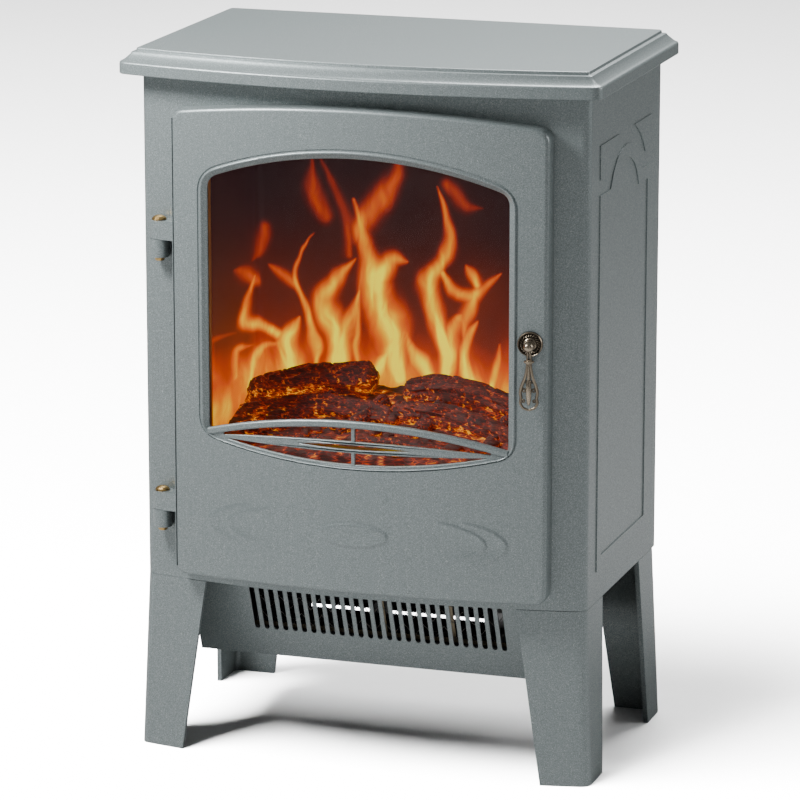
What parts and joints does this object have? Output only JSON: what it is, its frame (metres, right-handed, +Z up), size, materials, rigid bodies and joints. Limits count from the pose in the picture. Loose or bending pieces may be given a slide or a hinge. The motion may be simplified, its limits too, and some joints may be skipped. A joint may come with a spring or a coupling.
{
  "type": "electric fireplace",
  "caption": "Free-standing electric stove heater: bow-fronted casing on splayed legs, hinged arched door over a lit flame picture, fan heater behind a slotted sloping vent.",
  "frame": {"origin": "on the floor, under the middle of the object's bounding box", "axes": "+Z up, the door and the bowed front towards -Y, +X to the right as seen from the front"},
  "size_m": [0.42, 0.278, 0.6096],
  "materials": {
    "painted_steel": "satin metallic grey-green powder coat",
    "painted_moulding": "satin metallic grey-green paint over a heat-proof moulding",
    "dark_sheet": "matt black",
    "plain_steel": "plain zinc-plated",
    "old_brass": "antique dark patina",
    "pin_brass": "polished",
    "black_plastic": "fine matt",
    "window_glass": "clear toughened",
    "log_moulding": "painted ember bed",
    "flame_plastic": "translucent, back-lit",
    "mica": "mica board",
    "heater_alloy": "oxidised resistance alloy",
    "mirror_foil": "bright foil",
    "board": "white"
  },
  "bodies": {
    "stove": {"casing": "painted_steel", "rear_panel": "dark_sheet", "base_plate": "dark_sheet", "top_slab": "painted_moulding", "catch_plate": "plain_steel", "hinge_pin_upper": "pin_brass", "hinge_pin_lower": "pin_brass", "leg_front_left": "painted_moulding", "leg_front_right": "painted_moulding", "leg_rear_left": "painted_moulding", "leg_rear_right": "painted_moulding", "vent_panel": "painted_steel", "heater_box": "dark_sheet", "heater_frame": "mica", "heater_wire": "heater_alloy", "thermal_cutout": "black_plastic", "fan_motor": "plain_steel", "fan_bearing": "plain_steel", "firebox_liner": "dark_sheet", "log_bed": "log_moulding", "flame_screen": "flame_plastic", "flame_reflector": "mirror_foil", "rotor_motor": "plain_steel", "rotor_bracket": "plain_steel", "lamp_board": "board", "lamp_shelf": "dark_sheet", "switch_block": "black_plastic", "thermostat": "black_plastic", "cord_gland": "black_plastic", "terminal_block": "board", "leg_screw_front_left_0": "plain_steel", "leg_screw_front_left_1": "plain_steel", "leg_screw_front_right_0": "plain_steel", "leg_screw_front_right_1": "plain_steel", "leg_screw_rear_left_0": "plain_steel", "leg_screw_rear_left_1": "plain_steel", "leg_screw_rear_right_0": "plain_steel", "leg_screw_rear_right_1": "plain_steel", "rear_screw_1": "plain_steel", "rear_screw_2": "plain_steel", "rear_screw_3": "plain_steel", "rear_screw_4": "plain_steel", "rear_screw_5": "plain_steel", "rear_screw_6": "plain_steel"},
    "door": {"door": "painted_moulding", "door_glass": "window_glass", "glass_strip_left": "dark_sheet", "glass_strip_right": "dark_sheet", "door_magnet": "dark_sheet", "handle_rosette": "old_brass", "handle_stud": "old_brass", "handle_nut": "plain_steel"},
    "handle_drop": {"handle_drop": "old_brass"},
    "fan": {"fan_impeller": "black_plastic"},
    "rotor": {"flame_rotor": "mirror_foil"},
    "switch_power": {"rocker_1": "black_plastic"},
    "switch_low_heat": {"rocker_2": "black_plastic"},
    "switch_high_heat": {"rocker_3": "black_plastic"},
    "thermostat_dial": {"thermostat_knob": "black_plastic"}
  },
  "joints": [
    {"name": "door_hinge", "type": "hinge", "parent": "stove", "child": "door", "pos_m": [-0.176, -0.10828, 0.332], "axis": [0, 0, -1], "range_deg": [0, 110]},
    {"name": "handle_swing", "type": "hinge", "parent": "door", "child": "handle_drop", "pos_m": [0.15493, -0.12777, 0.384], "axis": [0.1708, -0.9853, 0], "continuous": true},
    {"name": "fan_spin", "type": "hinge", "parent": "stove", "child": "fan", "pos_m": [0, 0.013, 0.112], "axis": [1, 0, 0], "continuous": true},
    {"name": "rotor_spin", "type": "hinge", "parent": "stove", "child": "rotor", "pos_m": [0, 0.0668, 0.3018], "axis": [1, 0, 0], "continuous": true},
    {"name": "power_rocker", "type": "hinge", "parent": "stove", "child": "switch_power", "pos_m": [-0.1375, 0.123, 0.497], "axis": [1, 0, 0], "range_deg": [0, 16]},
    {"name": "low_heat_rocker", "type": "hinge", "parent": "stove", "child": "switch_low_heat", "pos_m": [-0.118, 0.123, 0.497], "axis": [1, 0, 0], "range_deg": [0, 16]},
    {"name": "high_heat_rocker", "type": "hinge", "parent": "stove", "child": "switch_high_heat", "pos_m": [-0.0985, 0.123, 0.497], "axis": [1, 0, 0], "range_deg": [0, 16]},
    {"name": "thermostat_turn", "type": "hinge", "parent": "stove", "child": "thermostat_dial", "pos_m": [-0.046, 0.124, 0.497], "axis": [0, -1, 0], "range_deg": [0, 270]}
  ]
}
